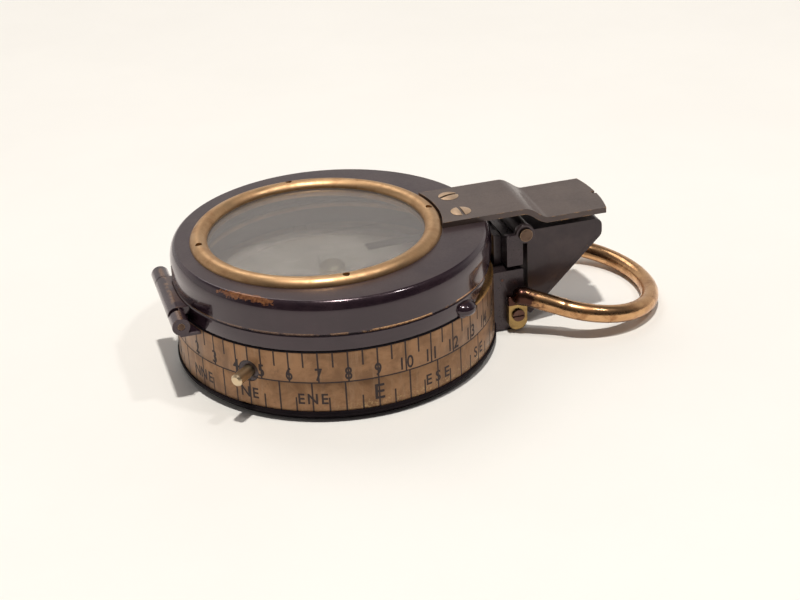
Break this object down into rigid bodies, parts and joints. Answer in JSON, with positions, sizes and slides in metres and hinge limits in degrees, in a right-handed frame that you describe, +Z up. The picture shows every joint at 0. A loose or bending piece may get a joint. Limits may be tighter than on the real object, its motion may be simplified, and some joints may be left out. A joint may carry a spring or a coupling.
{
  "type": "prismatic sighting compass",
  "caption": "Round pocket sighting compass in lacquered brass with a hinged glazed lid, sighting strap, folding prism, floating card, brake and thumb ring.",
  "frame": {"origin": "centre of the case's flat underside", "axes": "+Z up out of the closed lid, +X from the lid hinge to the prism, -Y the side where the scale reads east"},
  "size_m": [0.0889, 0.0556, 0.0227],
  "materials": {
    "lacquer_case": "worn dark lacquer on brass",
    "lacquer_lid": "worn dark lacquer on brass",
    "scale_brass": "lacquered brass with filled engraving",
    "worn_brass": "polished brass with brown edges",
    "ring_brass": "glossy copper-coloured brass",
    "pin_brass": "pale brass",
    "screw_brass": "slotted brass",
    "inner_brass": "machined brass",
    "lens_glass": "polished",
    "prism": "polished",
    "card_white": "printed cream card on a light disc",
    "magnet": "blued magnet steel",
    "steel": "hardened steel",
    "jewel": "polished jewel",
    "luminous": "dark luminous strip"
  },
  "bodies": {
    "case": {"base_plate": "lacquer_case", "case_wall": "scale_brass", "pivot_post": "inner_brass", "pivot_needle": "steel", "hinge_case_leaf": "lacquer_case", "hinge_pin": "worn_brass", "prism_bracket": "lacquer_case", "bracket_screws": "screw_brass", "bracket_dowels": "worn_brass", "ring_screws": "screw_brass", "brake_bush": "lacquer_case", "brake_post": "inner_brass", "brake_spring": "steel", "lift_bracket": "inner_brass", "lift_pivot_pin": "steel", "lift_spring": "steel"},
    "lid": {"lid_shell": "lacquer_lid", "lid_lug": "lacquer_lid", "window_bezel": "worn_brass", "window_glass": "lens_glass", "window_glass_ring": "worn_brass", "lid_strap": "lacquer_lid", "strap_screws": "screw_brass", "hinge_lid_leaf": "lacquer_lid"},
    "bezel": {"bezel_ring": "worn_brass", "bezel_glass": "lens_glass", "bezel_glass_ring": "worn_brass", "bezel_snap_ring": "steel", "index_strip": "luminous"},
    "card": {"card_disc": "card_white", "card_scale_ring": "card_white", "card_magnets": "magnet", "card_hub": "inner_brass", "jewel_cup": "jewel"},
    "slide": {"focus_slide": "lacquer_case", "prism_hinge_pin": "worn_brass"},
    "prism": {"prism_box": "lacquer_case", "prism_cover": "lacquer_case", "cover_screws": "screw_brass", "prism_glass": "prism", "object_lens": "lens_glass", "eye_lens": "lens_glass"},
    "ring": {"thumb_ring": "ring_brass"},
    "button": {"brake_button": "pin_brass"},
    "lever": {"brake_lever": "inner_brass"},
    "lifter_pin": {"lift_pin": "steel"},
    "lifter_lever": {"lift_lever": "inner_brass"}
  },
  "joints": [
    {"name": "lid_hinge", "type": "hinge", "parent": "case", "child": "lid", "pos_m": [-0.0284, -0.0014, 0.0141], "axis": [0, -1, 0], "range_deg": [0, 180]},
    {"name": "bezel_turn", "type": "hinge", "parent": "case", "child": "bezel", "pos_m": [0, 0, 0.0135], "axis": [0, 0, 1], "continuous": true},
    {"name": "card_swing", "type": "hinge", "parent": "case", "child": "card", "pos_m": [0, 0, 0.013], "axis": [0, 0, 1], "continuous": true},
    {"name": "focus", "type": "slide", "parent": "case", "child": "slide", "axis": [0, 0, 1], "range_m": [-0.0005, 0.0009]},
    {"name": "prism_flip", "type": "hinge", "parent": "slide", "child": "prism", "pos_m": [0.0325, 0, 0.0179], "axis": [0, -1, 0], "range_deg": [0, 180]},
    {"name": "ring_swing", "type": "hinge", "parent": "case", "child": "ring", "pos_m": [0.0304, 0, 0.0035], "axis": [0, -1, 0], "range_deg": [-150, 40]},
    {"name": "brake_press", "type": "slide", "parent": "case", "child": "button", "axis": [0.7071, 0.7071, 0], "range_m": [0, 0.00115]},
    {"name": "brake_lever_turn", "type": "hinge", "parent": "case", "child": "lever", "pos_m": [-0.01103, -0.02093, 0.0082], "axis": [0, 0, -1], "range_deg": [0, 9.6]},
    {"name": "lift_pin_move", "type": "slide", "parent": "case", "child": "lifter_pin", "axis": [0, 0, 1], "range_m": [0, 0.0009]},
    {"name": "lift_lever_turn", "type": "hinge", "parent": "case", "child": "lifter_lever", "pos_m": [0, 0.017, 0.0052], "axis": [1, 0, 0], "range_deg": [0, 6]}
  ],
  "couplings": [
    {"joint": "prism_flip", "follows": "lid_hinge", "ratio": 1},
    {"joint": "brake_lever_turn", "follows": "brake_press", "rad_per_m": 142.86},
    {"joint": "lift_pin_move", "follows": "lid_hinge", "m_per_rad": 0.0002801},
    {"joint": "lift_lever_turn", "follows": "lid_hinge", "ratio": 0.0311}
  ]
}
